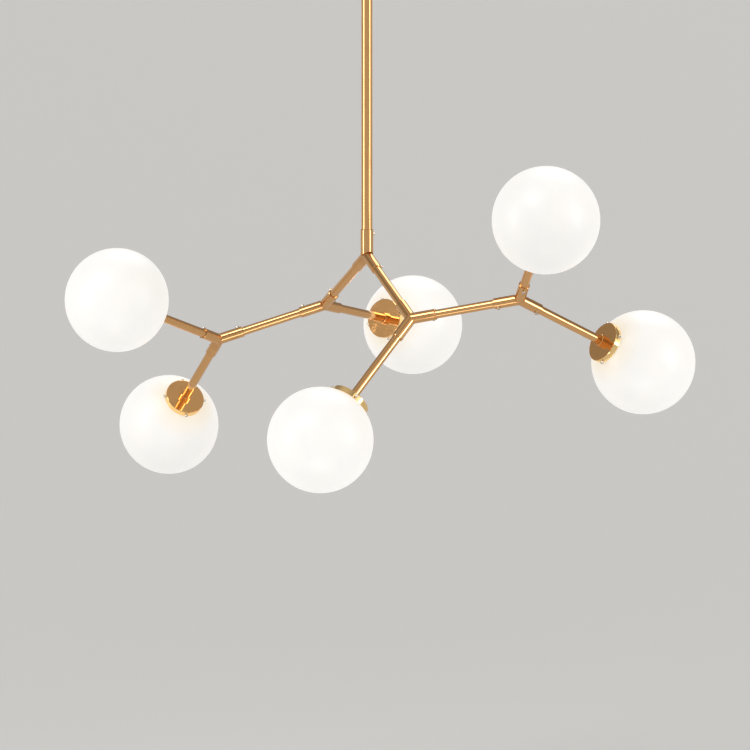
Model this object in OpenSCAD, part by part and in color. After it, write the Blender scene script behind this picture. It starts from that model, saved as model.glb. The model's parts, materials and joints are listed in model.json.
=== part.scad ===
// Branch chandelier: six opal glass globes on a tree of straight brass tubes.
// A tube hangs from the ceiling canopy into the centre hub. Every hub is a flat
// three-way fitting: one leg looks back along the tree, two lead on, and small
// set screws clamp the tubes in its sleeves. With its screws eased a hub turns
// on the tube that carries it, and the whole branch beyond it turns with it.
// Millimetres. The origin is on the ceiling, above the centre hub. +Z is up and
// -Y is the front.

/* [Branching] */
// Ceiling to the centre of the centre hub
drop = 460; // [440:10:700]
// Angle between the leg that looks back and each leg that leads on
hub_angle = 120; // [117:0.5:123]
// Distance between the centres of neighbouring hubs
hub_spacing = 164; // [155:1:190]
// Hub centre to globe centre on the five long arms
arm_reach = 235; // [225:1:260]
// Hub centre to globe centre on the raised arm
raised_arm_reach = 198; // [185:1:235]
// Turn of the centre hub about the down rod, in degrees
centre_turn = -63.5; // [-180:0.5:180]
// Turn of the left inner hub about its link
left_inner_turn = 94.5; // [88:0.5:100]
// Turn of the left outer hub about its link
left_outer_turn = 171; // [165:0.5:177]
// Turn of the right inner hub about its link
right_inner_turn = -126; // [-132:0.5:-120]
// Turn of the right outer hub about its link
right_outer_turn = 82; // [76:0.5:88]

/* [Tubes] */
// Outside diameter of the down rod
down_rod_d = 16; // [14:0.1:18]
// Wall of the down rod
down_rod_wall = 1.5; // [1:0.1:2]
// Outside diameter of the links and arms
branch_d = 12.7; // [11:0.1:14]
// Wall of the links and arms
branch_wall = 1.2; // [0.8:0.1:1.6]
// Radial clearance of a tube in its sleeve
running_gap = 0.05; // [0.02:0.01:0.09]
// End clearance where a hub turns on a tube
end_gap = 0.3; // [0.2:0.05:0.6]

/* [Hubs] */
// Hub centre to the open end of each sleeve
sleeve_length = 38; // [34:0.5:46]
// Wall of a sleeve round a link or an arm
sleeve_wall = 1.6; // [1.2:0.1:2.2]
// Wall of the centre hub's sleeve round the down rod
down_sleeve_wall = 1.2; // [1:0.1:2.2]
// Length of tube held in a sleeve
tube_seat = 22; // [16:0.5:24]
// Chamfer at a sleeve's open end
sleeve_chamfer = 0.8; // [0.3:0.1:1]

/* [Screws] */
// Shank diameter of the set screws and rim screws
screw_d = 3; // [2.5:0.1:3.5]
// Head diameter of the set screws and rim screws
screw_head_d = 5; // [4.4:0.1:5.6]
// Height of a screw's head
screw_head_h = 3.8; // [3:0.1:4.4]
// Chamfer round the top of a screw's head
screw_head_edge = 0.8; // [0.4:0.1:1.2]
// Width of the slot across a screw's head
screw_slot_w = 0.8; // [0.5:0.1:1.2]
// Depth of the slot across a screw's head
screw_slot_depth = 1; // [0.5:0.1:1.5]
// Clearance round a shank in its hole
screw_gap = 0.05; // [0.02:0.01:0.1]
// Distance of a set screw from its sleeve's open end
set_screw_inset = 7; // [5:0.5:9]
// Depth of the flat under a set screw's head
spot_depth = 0.3; // [0.2:0.05:0.5]
// Clearance round a head in that flat
spot_gap = 0.3; // [0.1:0.05:0.5]
// Number of rim screws round a cup
rim_screws = 4; // [3:1:4]
// Gap between a rim screw's tip and the glass neck
tip_gap = 0.2; // [0.1:0.05:0.4]

/* [Cups] */
// Outside diameter of a cup
cup_d = 59; // [57:0.5:64]
// Outside depth of a cup's skirt
cup_depth = 8.6; // [7:0.1:10]
// Thickness of a cup's skirt
cup_wall = 1.2; // [0.8:0.1:1.6]
// Thickness of a cup's flat back
cup_back_t = 1.5; // [1:0.1:2.2]
// Rounding of the edge between back and skirt
cup_edge_r = 1; // [0.6:0.1:1.4]
// Length of the collar that an arm enters
collar_length = 7; // [5:0.5:12]
// Wall of the collar round its arm
collar_wall = 2.4; // [1.2:0.1:3]
// Chamfer at the collar's end
collar_chamfer = 0.6; // [0.3:0.1:1]

/* [Globes] */
// Outside diameter of a globe
globe_d = 150; // [146:1:156]
// Thickness of the opal glass
glass_t = 3; // [2.4:0.1:4]
// Outside diameter of the glass neck inside its cup
neck_d = 53; // [50:0.5:54]
// Clearance between the glass and its cup
glass_gap = 0.3; // [0.2:0.05:0.5]

/* [Lampholders and bulbs] */
// Diameter of the threaded end of an arm, which a lampholder screws onto
thread_d = 10; // [9:0.1:10.5]
// Length of that thread inside the lampholder
thread_length = 8; // [6:0.5:10]
// Depth left free beyond that thread in the lampholder
thread_room = 0.5; // [0.2:0.1:1]
// Diameter of the wire passage in the threaded end
thread_bore_d = 6.5; // [5:0.1:7]
// Thickness of the plug that closes an arm round its threaded end
plug_t = 3; // [2:0.5:5]
// Diameter of a ceramic lampholder
holder_d = 20; // [19:0.5:24]
// Length of a ceramic lampholder
holder_length = 26; // [25:0.5:32]
// Diameter of the lampholder's flange
flange_d = 26; // [24:0.5:32]
// Thickness of the lampholder's flange
flange_t = 4; // [2:0.5:6]
// Width of a bulb's flat base
base_w = 15; // [12:0.5:15.5]
// Thickness of a bulb's flat base
base_t = 6; // [4:0.5:8]
// Depth of a bulb's base in its socket
base_depth = 8; // [6:0.5:8.5]
// Diameter of the two contact pins
pin_d = 1.2; // [0.8:0.1:1.6]
// Distance between the two contact pins
pin_spacing = 9; // [7:0.5:10]
// Length of the contact pins above the base
pin_length = 5; // [4:0.5:5.5]
// Clearance of the base and pins in the socket
socket_gap = 0.3; // [0.2:0.05:0.5]
// Diameter of a bulb
bulb_d = 16; // [14:0.5:18]
// Length of a bulb below its lampholder
bulb_length = 38; // [30:1:45]

/* [Ceiling mount] */
// Diameter of the canopy
canopy_d = 128; // [112:1:160]
// Height of the canopy
canopy_h = 28; // [26:0.5:34]
// Thickness of the canopy
canopy_t = 1.2; // [0.8:0.1:2]
// Radius of the canopy's lower edge
canopy_edge_r = 6; // [3:0.5:10]
// Width of the steel bracket
bracket_w = 22; // [20:0.5:28]
// Thickness of the steel bracket
bracket_t = 2; // [1.5:0.1:2.5]
// Ceiling to the upper face of the bracket's web
bracket_drop = 14; // [13.5:0.5:16]
// Length of the bracket's web
web_length = 64; // [62:1:66]
// Length of each foot against the ceiling
foot_length = 18; // [17:0.5:19]
// Distance between the centres of the two slots
slot_spacing = 82; // [81:0.5:83]
// Length of a slot from end to end
slot_length = 10; // [8:0.5:10.5]
// Width of a slot
slot_w = 5; // [4:0.1:6]
// Diameter of the threaded nipple
nipple_d = 10; // [9:0.1:11]
// Diameter of the wire passage in the nipple
nipple_bore_d = 6.6; // [5.5:0.1:7]
// Width across the flats of a locknut
nut_flats = 14; // [13:0.5:15]
// Thickness of a locknut
nut_t = 3; // [2.5:0.1:3.5]
// Nipple standing above its upper locknut
nipple_stand = 1; // [0.5:0.1:1.4]
// Diameter of the turned coupler below the canopy
coupler_d = 24; // [22:0.5:30]
// Length of the coupler
coupler_length = 22; // [21:0.5:30]
// Height of the wider ring at the coupler's top
coupler_ring_h = 4; // [3:0.5:6]
// Step from that ring in to the coupler's body
coupler_step = 1; // [0.5:0.1:1.5]
// Chamfer at the coupler's lower edge
coupler_chamfer = 1.5; // [0.5:0.1:2]
// Length of thread that the nipple has in the coupler
coupler_thread = 10; // [8:0.5:11]
// Gap between nipple and down rod inside the coupler
nipple_gap = 1; // [0.5:0.1:2]
// Length of the terminal block along the web
block_length = 18; // [16:0.5:19]
// Width of the terminal block across the web
block_w = 16; // [14:0.5:18]
// Height of the terminal block
block_h = 9; // [8.5:0.1:11]
// Diameter of the terminal block's screw wells
well_d = 4; // [3:0.1:5]
// Depth of the terminal block's screw wells
well_depth = 2; // [1:0.5:3]
// Width and depth of the groove between the terminal block's poles
groove = 1.2; // [0.8:0.1:2]

/* [Wiring] */
// Diameter of the sleeved pair of wires in the tubes
wire_d = 3.5; // [3:0.1:3.8]
// Bend radius where the wires leave the nipple
wire_bend_r = 5; // [5:0.1:6]
// Straight wire between that bend and the terminal block
wire_reach = 5; // [4:0.5:6]
// Depth of the wires below the terminal block's top
wire_cover = 0.75; // [0.5:0.05:1.5]

/* [Hidden] */
$fn = 96;
// Arms: the hub that carries each, the leg it leaves by, its reach, and the turn
// of its cup's rim screws
ARMS = [
    ["left_outer", 1, arm_reach, 80],
    ["left_outer", -1, arm_reach, 80],
    ["left_inner", -1, arm_reach, 80],
    ["right_inner", -1, arm_reach, 48],
    ["right_outer", 1, raised_arm_reach, 80],
    ["right_outer", -1, arm_reach, 80],
];
past = 1; // how far a cut starts outside its face, or a joined piece inside one

BRASS = [0.78, 0.56, 0.32];
CUP_BRASS = [0.84, 0.64, 0.36];
STEEL = [0.72, 0.72, 0.74];
CERAMIC = [0.93, 0.91, 0.87];
OPAL = [0.98, 0.97, 0.93];
WIRE = [0.85, 0.82, 0.74];

// Tubes and sleeves
branch_r = branch_d / 2;
branch_bore_r = branch_r - branch_wall;
down_rod_r = down_rod_d / 2;
sleeve_r = branch_r + running_gap + sleeve_wall;
down_sleeve_r = down_rod_r + running_gap + down_sleeve_wall;
seat = sleeve_length - tube_seat; // hub centre to the shoulder that a tube stops on

// Globe mount, as distances from the globe's centre towards its hub
globe_r = globe_d / 2;
neck_r = neck_d / 2;
cup_r = cup_d / 2;
cup_inner_r = cup_r - cup_wall;
cup_rim = sqrt(pow(globe_r + glass_gap, 2) - pow(cup_inner_r, 2));
cup_back = cup_rim + cup_depth;
cup_ceiling = cup_back - cup_back_t;
neck_top = cup_ceiling - glass_gap;
collar_r = branch_r + running_gap + collar_wall;
collar_end = cup_back + collar_length;
rim_screw_at = cup_rim + (cup_depth - cup_edge_r) / 2;
holder_foot = cup_ceiling - holder_length;
thread_pocket = thread_length + thread_room;
socket_roof = holder_foot + base_depth + socket_gap;

// Ceiling mount, as heights
web_top = -bracket_drop;
web_foot = web_top - bracket_t;
nipple_top = web_top + nut_t + nipple_stand;
coupler_top = -canopy_h;
nipple_foot = coupler_top - coupler_thread;
rod_top = nipple_foot - nipple_gap; // the rod stops on a shoulder in the coupler
rod_foot = -drop + seat + end_gap;
coupler_foot = coupler_top - coupler_length;
coupler_r = coupler_d / 2;
coupler_body_r = coupler_r - coupler_step;
coupler_screw_at = (rod_top + coupler_foot) / 2;
wire_exit = web_top + block_h - wire_d / 2 - wire_cover;
block_at = wire_bend_r + wire_reach; // nipple's axis to the near side of the block

// Places: each hub's frame has +Z along its leg towards the ceiling end of the
// tree, and its three legs lie in its XZ plane.
module leg(side)
    rotate([0, side * hub_angle, 0]) children();

module next_hub(side, turn)
    leg(side)
        translate([0, 0, hub_spacing]) rotate([180, 0, 0]) rotate([0, 0, turn])
            children();

module at_centre()
    translate([0, 0, -drop]) rotate([0, 0, centre_turn]) children();

module at_left_inner()
    at_centre() next_hub(-1, left_inner_turn) children();

module at_left_outer()
    at_left_inner() next_hub(1, left_outer_turn) children();

module at_right_inner()
    at_centre() next_hub(1, right_inner_turn) children();

module at_right_outer()
    at_right_inner() next_hub(1, right_outer_turn) children();

module at_hub(name) {
    if (name == "centre") at_centre() children();
    if (name == "left_inner") at_left_inner() children();
    if (name == "left_outer") at_left_outer() children();
    if (name == "right_inner") at_right_inner() children();
    if (name == "right_outer") at_right_outer() children();
}

// Along arm i, from its hub's centre
module along_arm(i)
    at_hub(ARMS[i - 1][0]) leg(ARMS[i - 1][1]) children();

// At globe i, with +Z from the globe's centre back towards its hub
module at_globe(i)
    along_arm(i)
        translate([0, 0, ARMS[i - 1][2]]) rotate([180, 0, 0]) children();

// Shared shapes

// A tube between two heights
module tube(from, to, r, bore_r)
    translate([0, 0, from]) difference() {
        cylinder(h = to - from, r = r);
        translate([0, 0, -past]) cylinder(h = to - from + 2 * past, r = bore_r);
    }

// A slotted screw: its head sits on z = 0 and its shank hangs below
module screw(shank) {
    r = screw_head_d / 2;
    translate([0, 0, -shank]) cylinder(h = shank, d = screw_d);
    difference() {
        rotate_extrude() polygon([
            [0, 0], [r, 0], [r, screw_head_h - screw_head_edge],
            [r - screw_head_edge, screw_head_h], [0, screw_head_h],
        ]);
        translate([-r - past, -screw_slot_w / 2, screw_head_h - screw_slot_depth])
            cube([2 * (r + past), screw_slot_w, screw_slot_depth + past]);
    }
}

// A sleeve from the hub's centre to its chamfered open end
module sleeve(r)
    rotate_extrude() polygon([
        [0, 0], [r, 0], [r, sleeve_length - sleeve_chamfer],
        [r - sleeve_chamfer, sleeve_length], [0, sleeve_length],
    ]);

// The room above a hub's mitre planes, where a wider sleeve that looks back stays
module mitre_room(r) {
    rise = r / tan(hub_angle / 2);
    rotate([90, 0, 0]) linear_extrude(2 * r, center = true)
        polygon([[0, 0], [r, rise], [r, sleeve_length], [-r, sleeve_length], [-r, rise]]);
}

// Turns +Z to the hub's flat side where its set screws are, at a screw's height
module at_set_screw(screw_side)
    translate([0, 0, sleeve_length - set_screw_inset])
        rotate([-90 * screw_side, 0, 0]) children();

// Socket for a tube in one leg, with its set screw's hole and the flat for its head
module leg_cut(tube_r, outer_r, screw_side) {
    cylinder(h = sleeve_length, r = branch_bore_r);
    translate([0, 0, seat]) cylinder(h = tube_seat + past, r = tube_r + running_gap);
    at_set_screw(screw_side) {
        cylinder(h = outer_r + past, d = screw_d + 2 * screw_gap);
        translate([0, 0, outer_r - spot_depth])
            cylinder(h = spot_depth + past, d = screw_head_d + 2 * spot_gap);
    }
}

// A three-way hub. Its sleeves all start at its centre, where they meet in mitres.
module hub(parent_r, parent_sleeve_r, screw_side)
    difference() {
        union() {
            if (parent_sleeve_r > sleeve_r)
                intersection() {
                    sleeve(parent_sleeve_r);
                    mitre_room(parent_sleeve_r + past);
                }
            else
                sleeve(parent_sleeve_r);
            for (side = [-1, 1]) leg(side) sleeve(sleeve_r);
        }
        leg_cut(parent_r, parent_sleeve_r, screw_side);
        for (side = [-1, 1]) leg(side) leg_cut(branch_r, sleeve_r, screw_side);
    }

// One set screw of a leg
module set_screw(tube_r, outer_r, screw_side)
    at_set_screw(screw_side)
        translate([0, 0, outer_r - spot_depth])
            screw(outer_r - spot_depth - tube_r - running_gap);

// The three set screws of a hub
module set_screws(parent_r, parent_sleeve_r, screw_side) {
    set_screw(parent_r, parent_sleeve_r, screw_side);
    for (side = [-1, 1]) leg(side) set_screw(branch_r, sleeve_r, screw_side);
}

// The screws round one cup's skirt, clamping the glass neck
module cup_screws(i)
    at_globe(i)
        for (k = [0:rim_screws - 1])
            rotate([0, 0, ARMS[i - 1][3] + k * 360 / rim_screws])
                translate([cup_r, 0, rim_screw_at]) rotate([0, 90, 0])
                    screw(cup_r - neck_r - tip_gap);

// Wires from a hub's carrying tube to the ends of its two legs
module wires(plus_length, minus_length) {
    cylinder(h = seat, d = wire_d);
    leg(1) cylinder(h = plus_length, d = wire_d);
    leg(-1) cylinder(h = minus_length, d = wire_d);
}

// Length of the wires from a hub to the next hub's, and to the lampholder of arm i
link_wire = hub_spacing - seat;
function arm_wire(i) = ARMS[i - 1][2] - cup_ceiling + thread_pocket;

// A link fixed in one hub's leg, on which the next hub turns
module link()
    tube(seat, hub_spacing - seat - end_gap, branch_r, branch_bore_r);

// Ceiling mount

module ceiling_bracket() {
    half = web_length / 2;
    end = half + foot_length - bracket_t;
    outline = [
        [-end, 0], [-half, 0], [-half, web_top], [half, web_top], [half, 0], [end, 0],
        [end, -bracket_t], [half + bracket_t, -bracket_t], [half + bracket_t, web_foot],
        [-half - bracket_t, web_foot], [-half - bracket_t, -bracket_t], [-end, -bracket_t],
    ];
    color(STEEL) difference() {
        rotate([90, 0, 0])
            linear_extrude(bracket_w, center = true) polygon(outline);
        translate([0, 0, web_foot - past])
            cylinder(h = bracket_t + 2 * past, d = nipple_d + 2 * running_gap);
        for (side = [-1, 1], end_side = [-1, 1])
            translate([side * slot_spacing / 2 + end_side * (slot_length - slot_w) / 2,
                       0, -bracket_t - past])
                cylinder(h = bracket_t + 2 * past, d = slot_w);
        for (side = [-1, 1])
            translate([side * slot_spacing / 2 - (slot_length - slot_w) / 2,
                       -slot_w / 2, -bracket_t - past])
                cube([slot_length - slot_w, slot_w, bracket_t + 2 * past]);
    }
}

module threaded_nipple()
    color(STEEL) tube(nipple_foot, nipple_top, nipple_d / 2, nipple_bore_d / 2);

module nipple_nuts()
    color(STEEL)
        for (z = [web_top, web_foot - nut_t])
            translate([0, 0, z]) difference() {
                cylinder(h = nut_t, d = nut_flats / cos(30), $fn = 6);
                translate([0, 0, -past])
                    cylinder(h = nut_t + 2 * past, d = nipple_d + 2 * running_gap);
            }

module terminal_block()
    color(CERAMIC)
        translate([block_at, -block_w / 2, web_top]) difference() {
            cube([block_length, block_w, block_h]);
            for (row = [0, 1], pole = [0, 1])
                translate([block_length * (1 + 2 * row) / 4,
                           block_w * (1 + 2 * pole) / 4, block_h - well_depth])
                    cylinder(h = well_depth + past, d = well_d);
            translate([-past, (block_w - groove) / 2, block_h - groove])
                cube([block_length + 2 * past, groove, groove + past]);
        }

module canopy() {
    r = canopy_d / 2;
    e = canopy_edge_r;
    i = e - canopy_t;
    color(BRASS) difference() {
        rotate_extrude() polygon(concat(
            [[0, -canopy_h]],
            [for (a = [0:15:90]) [r - e + e * sin(a), -canopy_h + e - e * cos(a)]],
            [[r, 0], [r - canopy_t, 0]],
            [for (a = [90:-15:0])
                [r - e + i * sin(a), -canopy_h + e - i * cos(a)]],
            [[0, -canopy_h + canopy_t]]
        ));
        translate([0, 0, -canopy_h - past])
            cylinder(h = canopy_t + 2 * past, d = nipple_d + 2 * running_gap);
    }
}

module rod_coupler()
    color(BRASS) difference() {
        translate([0, 0, coupler_foot]) rotate_extrude() polygon([
            [0, 0], [coupler_body_r - coupler_chamfer, 0],
            [coupler_body_r, coupler_chamfer],
            [coupler_body_r, coupler_length - coupler_ring_h],
            [coupler_r, coupler_length - coupler_ring_h + coupler_step],
            [coupler_r, coupler_length], [0, coupler_length],
        ]);
        translate([0, 0, rod_top - past])
            cylinder(h = coupler_top - rod_top + 2 * past, d = nipple_d + 2 * running_gap);
        translate([0, 0, coupler_foot - past])
            cylinder(h = rod_top - coupler_foot + past, r = down_rod_r + running_gap);
        translate([0, 0, coupler_screw_at]) rotate([90, 0, 0])
            cylinder(h = coupler_d, d = screw_d + 2 * screw_gap);
    }

module coupler_screw()
    color(STEEL)
        translate([0, -coupler_body_r, coupler_screw_at]) rotate([90, 0, 0])
            screw(coupler_body_r - down_rod_r - running_gap);

module down_rod()
    color(BRASS) tube(rod_foot, rod_top, down_rod_r, down_rod_r - down_rod_wall);

module supply_wires() {
    bend_foot = wire_exit - wire_bend_r;
    color(WIRE) {
        translate([0, 0, -drop + seat])
            cylinder(h = bend_foot + drop - seat, d = wire_d);
        translate([wire_bend_r, 0, bend_foot]) rotate([90, 0, 0])
            rotate([0, 0, 90]) rotate_extrude(angle = 90)
                translate([wire_bend_r, 0]) circle(d = wire_d);
        translate([wire_bend_r, 0, wire_exit]) rotate([0, 90, 0])
            cylinder(h = block_at - wire_bend_r, d = wire_d);
    }
}

// Centre hub and its two links

module centre_hub() color(BRASS) at_centre() hub(down_rod_r, down_sleeve_r, 1);
module left_link() color(BRASS) at_centre() leg(-1) link();
module right_link() color(BRASS) at_centre() leg(1) link();
module centre_screws()
    color(STEEL) at_centre() set_screws(down_rod_r, down_sleeve_r, 1);
module centre_wires() color(WIRE) at_centre() wires(link_wire, link_wire);

// Left branch

module left_inner_hub() color(BRASS) at_left_inner() hub(branch_r, sleeve_r, -1);
module left_outer_link() color(BRASS) at_left_inner() leg(1) link();
module left_inner_screws() color(STEEL) {
    at_left_inner() set_screws(branch_r, sleeve_r, -1);
    cup_screws(3);
}
module left_inner_wires()
    color(WIRE) at_left_inner() wires(link_wire, arm_wire(3));

module left_outer_hub() color(BRASS) at_left_outer() hub(branch_r, sleeve_r, -1);
module left_outer_screws() color(STEEL) {
    at_left_outer() set_screws(branch_r, sleeve_r, -1);
    cup_screws(1);
    cup_screws(2);
}
module left_outer_wires()
    color(WIRE) at_left_outer() wires(arm_wire(1), arm_wire(2));

// Right branch

module right_inner_hub() color(BRASS) at_right_inner() hub(branch_r, sleeve_r, 1);
module right_outer_link() color(BRASS) at_right_inner() leg(1) link();
module right_inner_screws() color(STEEL) {
    at_right_inner() set_screws(branch_r, sleeve_r, 1);
    cup_screws(4);
}
module right_inner_wires()
    color(WIRE) at_right_inner() wires(link_wire, arm_wire(4));

module right_outer_hub() color(BRASS) at_right_outer() hub(branch_r, sleeve_r, -1);
module right_outer_screws() color(STEEL) {
    at_right_outer() set_screws(branch_r, sleeve_r, -1);
    cup_screws(5);
    cup_screws(6);
}
module right_outer_wires()
    color(WIRE) at_right_outer() wires(arm_wire(5), arm_wire(6));

// Arms and what they carry

// An arm tube, plugged at its far end by the threaded stub for the lampholder
module arm(i) {
    end = ARMS[i - 1][2] - cup_back;
    thread_end = end + cup_back_t + thread_length;
    color(BRASS) along_arm(i) difference() {
        union() {
            translate([0, 0, seat]) cylinder(h = end - seat, r = branch_r);
            translate([0, 0, end - plug_t])
                cylinder(h = thread_end - end + plug_t, d = thread_d);
        }
        translate([0, 0, seat - past])
            cylinder(h = end - plug_t - seat + past, r = branch_bore_r);
        translate([0, 0, seat])
            cylinder(h = thread_end - seat + past, d = thread_bore_d);
    }
}

// A shallow turned cup with a collar for its arm
module cup(i) {
    color(CUP_BRASS) at_globe(i) difference() {
        rotate_extrude() polygon(concat(
            [[0, cup_rim], [cup_r, cup_rim]],
            [for (a = [0:30:90])
                [cup_r - cup_edge_r + cup_edge_r * cos(a),
                 cup_back - cup_edge_r + cup_edge_r * sin(a)]],
            [[collar_r, cup_back], [collar_r, collar_end - collar_chamfer],
             [collar_r - collar_chamfer, collar_end], [0, collar_end]]
        ));
        translate([0, 0, cup_rim - past])
            cylinder(h = cup_ceiling - cup_rim + past, r = cup_inner_r);
        translate([0, 0, cup_ceiling - past])
            cylinder(h = cup_back_t + 2 * past, d = thread_d + 2 * running_gap);
        translate([0, 0, cup_back])
            cylinder(h = collar_length + past, r = branch_r + running_gap);
        for (k = [0:rim_screws - 1])
            rotate([0, 0, ARMS[i - 1][3] + k * 360 / rim_screws])
                translate([0, 0, rim_screw_at]) rotate([0, 90, 0])
                    cylinder(h = cup_r + past, d = screw_d + 2 * screw_gap);
    }
}

// A ceramic lampholder, screwed onto its arm and clamping the cup there
module lampholder(i)
    color(CERAMIC) at_globe(i) difference() {
        union() {
            translate([0, 0, holder_foot]) cylinder(h = holder_length, d = holder_d);
            translate([0, 0, cup_ceiling - flange_t]) cylinder(h = flange_t, d = flange_d);
        }
        translate([0, 0, cup_ceiling - thread_pocket])
            cylinder(h = thread_pocket + past, d = thread_d + 2 * running_gap);
        translate([-base_w / 2 - socket_gap, -base_t / 2 - socket_gap,
                   holder_foot - past])
            cube([base_w + 2 * socket_gap, base_t + 2 * socket_gap,
                  socket_roof - holder_foot + past]);
        for (side = [-1, 1])
            translate([side * pin_spacing / 2, 0, socket_roof - past])
                cylinder(h = pin_length + past, d = pin_d + 2 * socket_gap);
    }

// A capsule bulb with a flat base and two contact pins
module bulb(i) {
    top = holder_foot - socket_gap;
    tip = top - bulb_length + bulb_d / 2; // centre of its rounded end
    base_end = holder_foot + base_depth;
    color(OPAL) at_globe(i) {
        translate([0, 0, tip]) sphere(d = bulb_d);
        translate([0, 0, tip]) cylinder(h = top - tip, d = bulb_d);
        translate([-base_w / 2, -base_t / 2, top - past])
            cube([base_w, base_t, base_end - top + past]);
        for (side = [-1, 1])
            translate([side * pin_spacing / 2, 0, top])
                cylinder(h = base_end - top + pin_length, d = pin_d);
    }
}

// An opal glass globe with a short neck that stands inside its cup
module globe(i)
    color(OPAL) at_globe(i) difference() {
        union() {
            sphere(r = globe_r);
            cylinder(h = neck_top, r = neck_r);
        }
        sphere(r = globe_r - glass_t);
        cylinder(h = neck_top + past, r = neck_r - glass_t);
    }

ceiling_bracket();
threaded_nipple();
nipple_nuts();
terminal_block();
canopy();
rod_coupler();
coupler_screw();
down_rod();
supply_wires();
centre_hub();
left_link();
right_link();
centre_screws();
centre_wires();
left_inner_hub();
left_outer_link();
left_inner_screws();
left_inner_wires();
left_outer_hub();
left_outer_screws();
left_outer_wires();
right_inner_hub();
right_outer_link();
right_inner_screws();
right_inner_wires();
right_outer_hub();
right_outer_screws();
right_outer_wires();
for (i = [1:len(ARMS)]) {
    arm(i);
    cup(i);
    lampholder(i);
    bulb(i);
    globe(i);
}
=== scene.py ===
"""Looks of the branch chandelier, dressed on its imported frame.

Metres, the frame's own axes: origin on the ceiling above the centre hub, +Z up,
-Y the front.
"""
import json
import math

import bmesh
import bpy
from mathutils import Matrix, Vector


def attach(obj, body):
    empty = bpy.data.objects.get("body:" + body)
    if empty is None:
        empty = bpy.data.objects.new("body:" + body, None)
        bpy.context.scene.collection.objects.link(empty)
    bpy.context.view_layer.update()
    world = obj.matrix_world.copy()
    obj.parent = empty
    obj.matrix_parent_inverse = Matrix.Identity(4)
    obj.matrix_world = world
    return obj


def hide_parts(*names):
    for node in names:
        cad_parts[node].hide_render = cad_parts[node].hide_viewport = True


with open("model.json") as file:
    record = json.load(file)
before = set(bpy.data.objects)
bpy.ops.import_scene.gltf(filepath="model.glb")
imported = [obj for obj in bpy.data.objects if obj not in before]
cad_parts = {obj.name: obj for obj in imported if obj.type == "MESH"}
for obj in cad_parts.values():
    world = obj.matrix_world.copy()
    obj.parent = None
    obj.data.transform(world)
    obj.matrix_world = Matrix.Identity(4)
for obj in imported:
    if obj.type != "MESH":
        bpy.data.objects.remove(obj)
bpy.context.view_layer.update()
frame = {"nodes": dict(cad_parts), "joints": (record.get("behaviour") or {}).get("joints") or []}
MM = 0.001

# --- Sizes shared with the construction -------------------------------------

ARM_REACH = 235 * MM
RAISED_ARM_REACH = 198 * MM
GLOBE_R = 75 * MM
SLEEVE_LENGTH = 38 * MM  # hub's centre to the lip of its sleeve
CUP_R = 29.5 * MM
CUP_BACK = 78.38 * MM  # globe's centre to the flat back of its cup
COLLAR_R = 8.8 * MM
BULB_R = 8 * MM
BULB_FOOT = 12.58 * MM  # globe's centre to the tip of its bulb
BULB_SHOULDER = 50.58 * MM  # to the face of the lampholder
BULB_BASE = 58.88 * MM  # to the top of the bulb's flat base
BULB_PINS = 63.88 * MM  # to the ends of its pins
BASE_HALF = (7.5 * MM, 3 * MM)
PIN_R = 0.6 * MM
PIN_OUT = 4.5 * MM  # each pin from the bulb's axis
NIPPLE_R = 5 * MM
NIPPLE_BORE_R = 3.3 * MM
NIPPLE_SPAN = (-38 * MM, -10 * MM)  # its foot and its top
BLOCK_TOP = -5 * MM  # terminal block
BLOCK_SCREWS = [(x * MM, y * MM) for x in (14.5, 23.5) for y in (-4, 4)]
WELL_DEPTH = 2 * MM  # each screw's well, down from the block's top

JOINTS = {joint["name"]: joint for joint in frame["joints"]}
HUBS = {
    name: Vector(JOINTS[name + "_swivel"]["pos_m"])
    for name in ("centre", "left_inner", "left_outer", "right_inner", "right_outer")
}
# Each arm: the hub that carries it and its reach
ARMS = {
    1: ("left_outer", ARM_REACH),
    2: ("left_outer", ARM_REACH),
    3: ("left_inner", ARM_REACH),
    4: ("right_inner", ARM_REACH),
    5: ("right_outer", RAISED_ARM_REACH),
    6: ("right_outer", ARM_REACH),
}
ARM_AXES = {i: Vector(JOINTS[f"globe_{i}_slide"]["axis"]).normalized() for i in ARMS}
GLOBES = {i: HUBS[ARMS[i][0]] + ARM_AXES[i] * ARMS[i][1] for i in ARMS}
LINKS = {
    "left_link": ("centre", "left_inner"),
    "right_link": ("centre", "right_inner"),
    "left_outer_link": ("left_inner", "left_outer"),
    "right_outer_link": ("right_inner", "right_outer"),
}


def hub_legs():
    """The three directions that the legs of each hub point in."""
    legs = {name: [] for name in HUBS}
    legs["centre"].append(Vector((0, 0, 1)))
    for near, far in LINKS.values():
        axis = (HUBS[far] - HUBS[near]).normalized()
        legs[near].append(axis)
        legs[far].append(-axis)
    for i, axis in ARM_AXES.items():
        legs[ARMS[i][0]].append(axis)
    return legs


LEGS = hub_legs()


# --- Colours ----------------------------------------------------------------


def srgb(red, green, blue):
    """A linear colour from 0-255 screen values."""
    def linear(value):
        v = value / 255
        return v / 12.92 if v <= 0.04045 else ((v + 0.055) / 1.055) ** 2.4

    return (linear(red), linear(green), linear(blue), 1.0)


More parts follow.
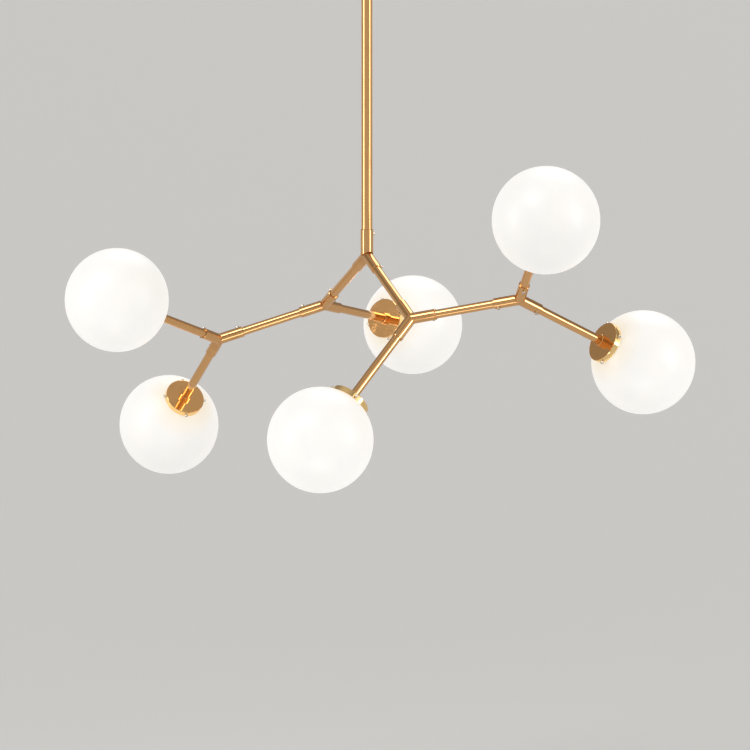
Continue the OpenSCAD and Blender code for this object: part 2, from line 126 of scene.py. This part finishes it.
TUBE_BRASS = srgb(230, 178, 120)
TUBE_BRASS_DEEP = srgb(164, 106, 56)
CUP_BRASS = srgb(248, 190, 124)
CUP_BRASS_DEEP = srgb(204, 138, 76)
# Painted highlight: the brighter brass laid on the outer face of each cup's rim
CUP_RIM_PAINTED_HIGHLIGHT = srgb(255, 216, 150)
NICKEL = srgb(238, 222, 196)
ZINC = srgb(176, 179, 184)
ZINC_DEEP = srgb(140, 146, 156)
OPAL = srgb(148, 147, 146)
GLOW = srgb(255, 253, 249)
GLOW_WARM = srgb(255, 234, 196)
CERAMIC = srgb(240, 236, 228)
CERAMIC_SPECK = srgb(206, 198, 184)
NYLON = srgb(236, 234, 228)
NYLON_DEEP = srgb(214, 210, 200)
SLEEVING = srgb(222, 214, 194)
SLEEVING_DEEP = srgb(186, 174, 148)
FLOOR = srgb(204, 203, 201)
DIM = srgb(148, 146, 143)


# --- Shader maths -----------------------------------------------------------


class Value:
    """A shader socket that can be used in plain arithmetic."""

    def __init__(self, tree, socket):
        self.tree = tree
        self.socket = socket

    def math(self, operation, *operands):
        """A Math node over the operands, which may be values or numbers."""
        node = self.tree.nodes.new("ShaderNodeMath")
        node.operation = operation
        for slot, operand in zip(node.inputs, operands):
            plug(self.tree, operand, slot)
        return Value(self.tree, node.outputs[0])

    def __add__(self, other):
        return self.math("ADD", self, other)

    def __radd__(self, other):
        return self.math("ADD", other, self)

    def __sub__(self, other):
        return self.math("SUBTRACT", self, other)

    def __rsub__(self, other):
        return self.math("SUBTRACT", other, self)

    def __mul__(self, other):
        return self.math("MULTIPLY", self, other)

    def __pow__(self, other):
        return self.math("POWER", self, other)


def plug(tree, source, slot):
    """Links a value to a socket, or sets the socket to a plain number or colour."""
    if isinstance(source, Value):
        tree.links.new(source.socket, slot)
    else:
        slot.default_value = source


class Shading:
    """A node tree being made."""

    def __init__(self, tree):
        self.tree = tree

    def node(self, kind, settings=None, inputs=None, output=0):
        """Adds a node: its settings first, then its sockets. Returns one output."""
        node = self.tree.nodes.new(kind)
        for key, value in (settings or {}).items():
            if key == "stops":
                self._stops(node.color_ramp, value)
            else:
                setattr(node, key, value)
        for key, source in (inputs or {}).items():
            plug(self.tree, source, node.inputs[key])
        return Value(self.tree, node.outputs[output])

    @staticmethod
    def _stops(ramp, stops):
        while len(ramp.elements) < len(stops):
            ramp.elements.new(1.0)
        for element, (position, colour) in zip(ramp.elements, stops):
            element.position = position
            element.color = colour

    def place(self):
        """The point on the object, in the frame's own metres."""
        return self.node("ShaderNodeTexCoord", output="Object")

    def offset(self, point):
        """The vector from a fixed point to the place on the object."""
        return self.node(
            "ShaderNodeVectorMath", {"operation": "SUBTRACT"},
            {0: self.place(), 1: tuple(point)})

    def along(self, vector, axis):
        """How far a vector reaches along an axis."""
        return self.node(
            "ShaderNodeVectorMath", {"operation": "DOT_PRODUCT"},
            {0: vector, 1: tuple(axis)}, "Value")

    def combine(self, x, y, z):
        return self.node("ShaderNodeCombineXYZ", None, {0: x, 1: y, 2: z})

    def noise(self, vector, scale, detail=3.0, roughness=0.55):
        return self.node(
            "ShaderNodeTexNoise", None,
            {"Vector": vector, "Scale": scale, "Detail": detail,
             "Roughness": roughness})

    def step(self, value, low, high):
        """0 below low, 1 above high, smooth between."""
        return self.node(
            "ShaderNodeMapRange", {"interpolation_type": "SMOOTHSTEP"},
            {"Value": value, "From Min": low, "From Max": high})

    def mix(self, factor, a, b):
        """Colour a, going to colour b as the factor rises."""
        return self.node(
            "ShaderNodeMix", {"data_type": "RGBA"}, {0: factor, 6: a, 7: b}, 2)

    def local(self, point, axis):
        """(side, across, along) of the place in a frame turned to an axis."""
        side, across = square_to(axis)
        vector = self.offset(point)
        return (self.along(vector, side), self.along(vector, across),
                self.along(vector, axis))


class Finish(Shading):
    """A material being made: one Principled shader and what feeds it."""

    def __init__(self, name, **constants):
        self.material = bpy.data.materials.new(name)
        self.material.use_nodes = True
        super().__init__(self.material.node_tree)
        self.tree.nodes.clear()
        output = self.tree.nodes.new("ShaderNodeOutputMaterial")
        self.shader = self.tree.nodes.new("ShaderNodeBsdfPrincipled")
        self.tree.links.new(self.shader.outputs[0], output.inputs["Surface"])
        for socket, value in constants.items():
            self.set(socket.replace("_", " "), value)

    def set(self, socket, source):
        """Feeds one of the shader's sockets, matched without regard to case."""
        slot = next(s for s in self.shader.inputs if s.name.lower() == socket.lower())
        plug(self.tree, source, slot)

    def bump(self, height, strength, distance):
        normal = self.node(
            "ShaderNodeBump", None,
            {"Strength": strength, "Distance": distance, "Height": height})
        self.set("Normal", normal)


def square_to(axis):
    """Two directions square to an axis and to each other."""
    axis = Vector(axis).normalized()
    helper = Vector((0, 0, 1)) if abs(axis.z) < 0.9 else Vector((1, 0, 0))
    side = axis.cross(helper).normalized()
    return side, axis.cross(side).normalized()


# --- Finishes ---------------------------------------------------------------


def drawn_brass(name, start, axis):
    """Polished tube: faint draw lines along it, soft tarnish and finger smears."""
    finish = Finish(name, metallic=1.0)
    side, across, along = finish.local(start, axis)
    grain = finish.noise(finish.combine(side * 900, across * 900, along * 9), 1.0, 4)
    cloud = finish.noise(finish.combine(side * 34, across * 34, along * 26), 1.0, 4)
    smear = finish.step(cloud, 0.52, 0.76)
    finish.set("Base Color", finish.mix(
        grain * 0.10 + smear * 0.14, TUBE_BRASS, TUBE_BRASS_DEEP))
    finish.set("Roughness", 0.05 + grain * 0.05 + smear * 0.06)
    finish.bump(grain, 0.03, 0.0002)
    return finish.material


def joined_brass(name, centre, legs):
    """Polished hub: hand-buffed, with a fine brazed seam along its mitres."""
    finish = Finish(name, metallic=1.0)
    offset = finish.offset(centre)
    first, second, third = (finish.along(offset, leg) for leg in legs)
    largest = first.math("MAXIMUM", first.math("MAXIMUM", first, second), third)
    smallest = first.math("MINIMUM", first.math("MINIMUM", first, second), third)
    middle = first + second + third - largest - smallest
    seam = 1 - finish.step(largest - middle, 0.1 * MM, 0.8 * MM)
    buff = finish.noise(offset, 700, 4)
    cloud = finish.noise(offset, 60, 3)
    smear = finish.step(cloud, 0.50, 0.72)
    lip = finish.step(largest, SLEEVE_LENGTH - 2.2 * MM, SLEEVE_LENGTH - 0.4 * MM)
    finish.set("Base Color", finish.mix(
        smear * 0.16 + seam * 0.6 + 0.08, TUBE_BRASS, TUBE_BRASS_DEEP))
    finish.set("Roughness", 0.06 + buff * 0.05 + smear * 0.06 + seam * 0.2 - lip * 0.02)
    finish.bump(buff * 0.15 - seam, 0.25, 0.0003)
    return finish.material


def turned_brass(name, centre, axis):
    """Cup: a back polished to a mirror, fine lathe rings, a painted highlight on its rim and
    painted shade by its collar.
    """
    finish = Finish(name, metallic=1.0)
    side, across, along = finish.local(centre, axis)
    radius = (side * side + across * across) ** 0.5
    rings = finish.noise(finish.combine(radius * 2600, along * 2600, 0.0), 1.0, 2)
    cloud = finish.noise(finish.offset(centre), 45, 4)
    smear = finish.step(cloud, 0.50, 0.74)
    skirt = finish.step(radius, CUP_R - 0.9 * MM, CUP_R - 0.1 * MM)
    collar_corner_shade = finish.step(radius, COLLAR_R + 1.2 * MM, COLLAR_R - 0.2 * MM)
    edge = finish.step(along, 0.2 * MM - CUP_BACK, 0.9 * MM - CUP_BACK)
    # Painted shade: the back darkens into the corner where it meets its collar
    back = finish.mix(
        smear * 0.3 + collar_corner_shade * 0.25, CUP_BRASS, CUP_BRASS_DEEP)
    # Painted highlight: the outer face of the rim is lifted to a brighter brass
    finish.set("Base Color", finish.mix(skirt * edge, back, CUP_RIM_PAINTED_HIGHLIGHT))
    finish.set("Roughness", 0.03 + rings * 0.04 + smear * 0.06 + skirt * 0.03)
    finish.bump(rings, 0.04, 0.0002)
    return finish.material


def spun_brass(name):
    """Canopy and coupler: spun on a vertical axis, so its rings are level."""
    finish = Finish(name, metallic=1.0)
    side, across, along = finish.local((0, 0, 0), (0, 0, 1))
    radius = (side * side + across * across) ** 0.5
    rings = finish.noise(finish.combine(radius * 1800, along * 1800, 0.0), 1.0, 3)
    cloud = finish.noise(finish.place(), 30, 4)
    smear = finish.step(cloud, 0.48, 0.74)
    finish.set("Base Color", finish.mix(
        smear * 0.4 + rings * 0.15, TUBE_BRASS, TUBE_BRASS_DEEP))
    finish.set("Roughness", 0.12 + rings * 0.08 + smear * 0.08)
    finish.bump(rings, 0.07, 0.0002)
    return finish.material


def nickel_plate(name):
    """Bright plated steel: a slightly uneven polish and fine scuffs."""
    finish = Finish(name, metallic=1.0)
    scuff = finish.noise(finish.place(), 1400, 3)
    finish.set("Base Color", finish.mix(scuff * 0.6, NICKEL, ZINC))
    finish.set("Roughness", 0.18 + scuff * 0.14)
    finish.bump(scuff, 0.08, 0.0001)
    return finish.material


def zinc_plate(name):
    """Mounting steel: crystalline zinc with a dull passivated sheen."""
    finish = Finish(name, metallic=1.0)
    flake = finish.node(
        "ShaderNodeTexVoronoi", {"feature": "F1"},
        {"Vector": finish.place(), "Scale": 260.0}, "Distance")
    cloud = finish.noise(finish.place(), 90, 4)
    finish.set("Base Color", finish.mix(flake * 0.5 + cloud * 0.4, ZINC, ZINC_DEEP))
    finish.set("Roughness", 0.30 + flake * 0.12 + cloud * 0.10)
    finish.bump(cloud, 0.12, 0.0002)
    return finish.material


def opal_glass(name, centre, axis):
    """Glowing opal glass: even white, with a painted warm reflection of its brass cup near the
    cup and a faint random warm tone in swirls.
    """
    finish = Finish(
        name, roughness=0.42, coat_weight=0.05, coat_roughness=0.2,
        emission_strength=0.61)
    offset = finish.offset(centre)
    towards_cup = finish.along(offset, axis) * (-1 / GLOBE_R)
    swirl = finish.noise(offset, 14, 3)
    seeds = finish.noise(offset, 220, 2)
    # Painted reflection: the glow turns warm towards the brass cup; the swirl part is a faint
    # random warm tone
    cup_reflection_and_swirl = finish.step(towards_cup, 0.62, 1.0) * 0.75 + finish.step(swirl, 0.35, 0.8) * 0.08
    finish.set("Base Color", finish.mix(swirl * 0.2, OPAL, CERAMIC))
    finish.set("Emission Color", finish.mix(cup_reflection_and_swirl, GLOW, GLOW_WARM))
    finish.bump(swirl * 0.7 + seeds * 0.05, 0.04, 0.002)
    return finish.material


def frosted_glass(name):
    """Bulb: etched capsule glass, glowing warm."""
    finish = Finish(name, emission_strength=0.7)
    frost = finish.noise(finish.place(), 900, 3)
    cloud = finish.noise(finish.place(), 120, 2)
    finish.set("Base Color", finish.mix(frost, CERAMIC, OPAL))
    finish.set("Roughness", 0.35 + frost * 0.2)
    finish.set("Emission Color", finish.mix(cloud, GLOW_WARM, GLOW))
    finish.bump(frost, 0.15, 0.0002)
    return finish.material


def glazed_ceramic(name):
    finish = Finish(name, coat_weight=0.6, coat_roughness=0.08)
    speck = finish.noise(finish.place(), 500, 4)
    cloud = finish.noise(finish.place(), 80, 3)
    finish.set("Base Color", finish.mix(
        finish.step(speck, 0.62, 0.75) * 0.3 + cloud * 0.15, CERAMIC, CERAMIC_SPECK))
    finish.set("Roughness", 0.30 + cloud * 0.15)
    finish.bump(cloud, 0.1, 0.0003)
    return finish.material


def moulded_nylon(name):
    finish = Finish(name)
    skin = finish.noise(finish.place(), 1600, 3)
    cloud = finish.noise(finish.place(), 120, 3)
    finish.set("Base Color", finish.mix(cloud * 0.4, NYLON, NYLON_DEEP))
    finish.set("Roughness", 0.42 + skin * 0.14)
    finish.bump(skin, 0.1, 0.0002)
    return finish.material


def braided_sleeving(name):
    """Heat-proof sleeving: a fine diagonal braid."""
    finish = Finish(name)
    braid = finish.node(
        "ShaderNodeTexWave", {"wave_type": "BANDS", "bands_direction": "DIAGONAL"},
        {"Vector": finish.place(), "Scale": 420.0, "Distortion": 2.0})
    fuzz = finish.noise(finish.place(), 900, 3)
    finish.set("Base Color", finish.mix(
        braid * 0.5 + fuzz * 0.2, SLEEVING, SLEEVING_DEEP))
    finish.set("Roughness", 0.6 + fuzz * 0.2)
    finish.bump(braid, 0.3, 0.0003)
    return finish.material


def paint(node, material):
    """Gives a construction node its finish."""
    mesh = frame["nodes"][node].data
    mesh.materials.clear()
    mesh.materials.append(material)


def paint_construction():
    spun = spun_brass("spun_brass")
    nickel = nickel_plate("nickel_plate")
    zinc = zinc_plate("zinc_plate")
    sleeving = braided_sleeving("braided_sleeving")
    ceramic = glazed_ceramic("glazed_ceramic")
    for node in frame["nodes"]:
        if node.endswith("screws") or node.endswith("screw"):
            paint(node, nickel)
        elif node.endswith("wires"):
            paint(node, sleeving)
        elif node.startswith("lampholder"):
            paint(node, ceramic)
    for node in ("ceiling_bracket", "threaded_nipple", "nipple_nuts"):
        paint(node, zinc)
    for node in ("canopy", "rod_coupler"):
        paint(node, spun)
    paint("terminal_block", moulded_nylon("moulded_nylon"))
    paint("down_rod", drawn_brass("down_rod_brass", (0, 0, 0), (0, 0, 1)))
    for link, (near, far) in LINKS.items():
        axis = (HUBS[far] - HUBS[near]).normalized()
        paint(link, drawn_brass(link + "_brass", HUBS[near], axis))
    for i, axis in ARM_AXES.items():
        hub = HUBS[ARMS[i][0]]
        paint(f"arm_{i}", drawn_brass(f"arm_{i}_brass", hub, axis))
        paint(f"cup_{i}", turned_brass(f"cup_{i}_brass", GLOBES[i], axis))
        paint(f"globe_{i}", opal_glass(f"globe_{i}_opal", GLOBES[i], axis))
    for name, legs in LEGS.items():
        paint(name + "_hub", joined_brass(name + "_hub_brass", HUBS[name], legs))
    return nickel, zinc


# --- Pieces with more form than the construction gives them -------------------


def piece(name, mesh, matrix, material, body, slot, *nodes):
    """Puts a finished mesh in its place, on its body, for the nodes it stands for."""
    mesh.materials.append(material)
    for face in mesh.polygons:
        face.use_smooth = True
    mesh.set_sharp_from_angle(angle=math.radians(40))
    made = bpy.data.objects.new(name, mesh)
    made.matrix_world = matrix
    bpy.context.scene.collection.objects.link(made)
    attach(made, body)
    if nodes:
        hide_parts(*nodes)


def skin_rings(shape, rings, closed=False):
    """Faces between neighbouring rings of points, with lids unless they close up."""
    rows = [[shape.verts.new(point) for point in points] for points in rings]
    pairs = list(zip(rows, rows[1:]))
    if closed:
        pairs.append((rows[-1], rows[0]))
    for lower, upper in pairs:
        for k in range(len(lower)):
            n = (k + 1) % len(lower)
            shape.faces.new((lower[k], lower[n], upper[n], upper[k]))
    if not closed:
        shape.faces.new(list(reversed(rows[0])))
        shape.faces.new(rows[-1])


def ring(half_x, half_y, z, roundness=2.0, count=40):
    """A ring that is round at roundness 2 and squarer above it."""
    points = []
    for k in range(count):
        angle = 2 * math.pi * (k + 0.5) / count
        c, s = math.cos(angle), math.sin(angle)
        scale = (abs(c) ** roundness + abs(s) ** roundness) ** (-1 / roundness)
        points.append((half_x * c * scale, half_y * s * scale, z))
    return points


def to_mesh(name, shape):
    bmesh.ops.recalc_face_normals(shape, faces=shape.faces)
    mesh = bpy.data.meshes.new(name)
    shape.to_mesh(mesh)
    shape.free()
    return mesh


def capsule_bulb(i, glass):
    """A capsule bulb: round tip with its sealed pip, pinched flat base, two pins."""
    shape = bmesh.new()
    pip_r = 0.768 * MM
    rings = [ring(pip_r, pip_r, BULB_FOOT)]
    dome_steps = 12
    for k in range(1, dome_steps + 1):
        angle = math.radians(90 * k / dome_steps)
        r = BULB_R * math.sin(angle)
        z = BULB_FOOT + BULB_R * (1 - math.cos(angle))
        rings.append(ring(r, r, z))
    pinch_start = BULB_SHOULDER - 9 * MM
    pinch_end = BULB_SHOULDER - 0.5 * MM
    pinch_steps = 8
    rings.append(ring(BULB_R, BULB_R, pinch_start))
    base_x, base_y = BASE_HALF
    for k in range(1, pinch_steps + 1):
        t = k / pinch_steps
        ease = t * t * (3 - 2 * t)
        rings.append(ring(
            BULB_R + (base_x - BULB_R) * ease, BULB_R + (base_y - BULB_R) * ease,
            pinch_start + (pinch_end - pinch_start) * t, 2 + 4 * ease))
    bevel = 0.4 * MM
    draft = 0.05 * MM
    rings.append(ring(base_x - draft, base_y - draft, BULB_BASE - bevel, 8))
    rings.append(ring(base_x - bevel, base_y - bevel, BULB_BASE, 8))
    skin_rings(shape, rings)
    pin_root = BULB_BASE - 1 * MM
    pin_taper = BULB_PINS - 0.3 * MM
    for side in (-1, 1):
        pin = []
        for r, z in ((PIN_R, pin_root), (PIN_R, pin_taper), (PIN_R * 0.6, BULB_PINS)):
            pin.append([(x + side * PIN_OUT, y, z) for x, y, z in ring(r, r, z, 2, 16)])
        skin_rings(shape, pin)
    legs = LEGS[ARMS[i][0]]
    up = -ARM_AXES[i]
    thin = legs[0].cross(legs[1]).normalized()
    wide = thin.cross(up).normalized()
    turn = Matrix((wide, thin, up)).transposed().to_4x4()
    name = f"capsule_bulb_{i}"
    piece(name, to_mesh(name, shape), Matrix.Translation(GLOBES[i]) @ turn, glass,
          f"lamp_{i}", "bulb_frosted", f"bulb_{i}")


def nipple_thread(zinc):
    """The hollow threaded rod through the bracket, with its thread cut."""
    pitch = 1.0 * MM
    depth = 0.55 * MM
    run_out = 0.8 * MM
    flank_slope = 2.6
    around = 48
    rows_per_turn = 6
    low, high = NIPPLE_SPAN
    rows = int(round((high - low) / pitch * rows_per_turn))
    rings = []
    for row in range(rows + 1):
        z = low + (high - low) * row / rows
        taper = min(1.0, min(z - low, high - z) / run_out)
        points = []
        for k in range(around):
            wave = ((z / pitch) - k / around) % 1.0
            flank = min(1.0, abs(wave - 0.5) * flank_slope)
            r = NIPPLE_R - depth * (flank * taper + (1 - taper))
            angle = 2 * math.pi * k / around
            points.append((r * math.cos(angle), r * math.sin(angle), z))
        rings.append(points)
    for z in (high, low):
        rings.append([
            (NIPPLE_BORE_R * math.cos(2 * math.pi * k / around),
             NIPPLE_BORE_R * math.sin(2 * math.pi * k / around), z)
            for k in range(around)])
    shape = bmesh.new()
    skin_rings(shape, rings, closed=True)
    piece("nipple_thread", to_mesh("nipple_thread", shape), Matrix.Identity(4), zinc,
          "ceiling_mount", "zinc_steel", "threaded_nipple")


def terminal_screws(nickel):
    """The four slotted clamp screws down in the terminal block's wells."""
    head_r = 1.7 * MM
    half_slot = 0.3 * MM
    bevel = 0.2 * MM
    foot = BLOCK_TOP - WELL_DEPTH - 0.2 * MM
    slot_floor = foot + 0.7 * MM
    land_foot = foot + 0.6 * MM
    land_edge = foot + 1.2 * MM
    land_top = foot + 1.4 * MM
    land_steps = 16
    start = math.asin(half_slot / head_r)
    outline = [
        start + (math.pi - 2 * start) * k / land_steps for k in range(land_steps + 1)]
    shape = bmesh.new()
    for x, y in BLOCK_SCREWS:
        base = [[(x + px, y + py, z) for px, py, z in ring(head_r, head_r, z, 2, 32)]
                for z in (foot, slot_floor)]
        skin_rings(shape, base)
        for side in (-1, 1):
            land = []
            for r, z in ((head_r, land_foot), (head_r, land_edge),
                         (head_r - bevel, land_top)):
                land.append([
                    (x + r * math.cos(a), y + side * max(r * math.sin(a), half_slot), z)
                    for a in outline])
            skin_rings(shape, land)
    piece("terminal_screws", to_mesh("terminal_screws", shape), Matrix.Identity(4),
          nickel, "ceiling_mount", "screw_steel")


# --- Studio -----------------------------------------------------------------

FLOOR_LEVEL = -1.35
FLOOR_R = 400
MIDDLE = Vector((0, 0, -0.5))  # what the strip boxes point at


def studio_floor():
    """A pale floor, wide enough to run on behind the light in every view."""
    shape = bmesh.new()
    bmesh.ops.create_circle(shape, cap_ends=True, radius=FLOOR_R, segments=256)
    mesh = to_mesh("floor", shape)
    floor = bpy.data.objects.new("floor", mesh)
    floor.location = (0, 0, FLOOR_LEVEL)
    bpy.context.scene.collection.objects.link(floor)
    finish = Finish("studio_floor", base_color=FLOOR, roughness=0.8)
    mesh.materials.append(finish.material)


def studio_world():
    """A plain surround: the floor's tone at the horizon, dimmer overhead."""
    world = bpy.data.worlds.new("studio")
    bpy.context.scene.world = world
    world.use_nodes = True
    sky = Shading(world.node_tree)
    direction = sky.node("ShaderNodeTexCoord", output="Generated")
    height = sky.along(direction, (0, 0, 1))
    grey = sky.node(
        "ShaderNodeValToRGB",
        {"stops": [(0.0, FLOOR), (0.10, FLOOR), (0.38, DIM), (0.7, DIM), (1.0, FLOOR)]},
        {"Fac": height})
    background = world.node_tree.nodes["Background"]
    world.node_tree.links.new(grey.socket, background.inputs["Color"])


def soft_sun(name, azimuth, elevation, width, strength):
    """Even studio light from one side; azimuth 0 is the front, 90 the viewer's right."""
    light = bpy.data.lights.new(name, "SUN")
    light.energy = strength
    light.angle = math.radians(width)
    lamp = bpy.data.objects.new(name, light)
    a, e = math.radians(azimuth), math.radians(elevation)
    towards = Vector((math.sin(a) * math.cos(e), -math.cos(a) * math.cos(e), math.sin(e)))
    lamp.rotation_euler = towards.to_track_quat("Z", "Y").to_euler()
    lamp.location = towards * 5
    bpy.context.scene.collection.objects.link(lamp)


def strip_box(name, place, length, width, upright, strength):
    """A long softbox, whose reflection lies as a bright line along the tubes."""
    light = bpy.data.lights.new(name, "AREA")
    light.shape = "RECTANGLE"
    light.size, light.size_y = (width, length) if upright else (length, width)
    light.spread = math.radians(60)
    light.energy = strength * width * length * math.pi
    lamp = bpy.data.objects.new(name, light)
    lamp.location = place
    away = Vector(place) - MIDDLE
    lamp.rotation_euler = away.to_track_quat("Z", "Y").to_euler()
    lamp.visible_camera = False
    bpy.context.scene.collection.objects.link(lamp)


def studio_lights():
    soft_sun("key", azimuth=-42, elevation=46, width=34, strength=1.2)
    soft_sun("fill", azimuth=55, elevation=24, width=50, strength=0.5)
    soft_sun("back", azimuth=165, elevation=52, width=40, strength=0.8)
    strip_box("left_strip", (-2.6, -1.05, -0.05), length=1.8, width=0.5,
              upright=True, strength=1.0)
    strip_box("right_strip", (2.5, -1.2, -0.05), length=1.8, width=0.5,
              upright=True, strength=0.85)
    strip_box("low_strip", (0, -0.75, -1.25), length=1.9, width=0.16,
              upright=False, strength=0.7)


def photo_camera():
    """The photograph's own viewing angle, from a fit of the tree to it."""
    distance = 6.9122
    across = 0.0117
    height = 0.0039
    pitch_down = 0.09211
    focal_pixels = 4768
    frame_pixels = 750
    data = bpy.data.cameras.new("photo")
    data.sensor_width = 36
    data.lens = focal_pixels * data.sensor_width / frame_pixels
    data.clip_end = 900
    camera = bpy.data.objects.new("photo", data)
    camera.location = (across, -distance, height)
    camera.rotation_euler = (math.radians(90) - pitch_down, 0, 0)
    bpy.context.scene.collection.objects.link(camera)
    bpy.context.scene.camera = camera


photo_camera()
studio_world()
studio_floor()
studio_lights()
nickel_finish, zinc_finish = paint_construction()
bulb_glass = frosted_glass("frosted_glass")
for arm in ARMS:
    capsule_bulb(arm, bulb_glass)
nipple_thread(zinc_finish)
terminal_screws(nickel_finish)
bpy.context.scene.view_settings.view_transform = "Standard"
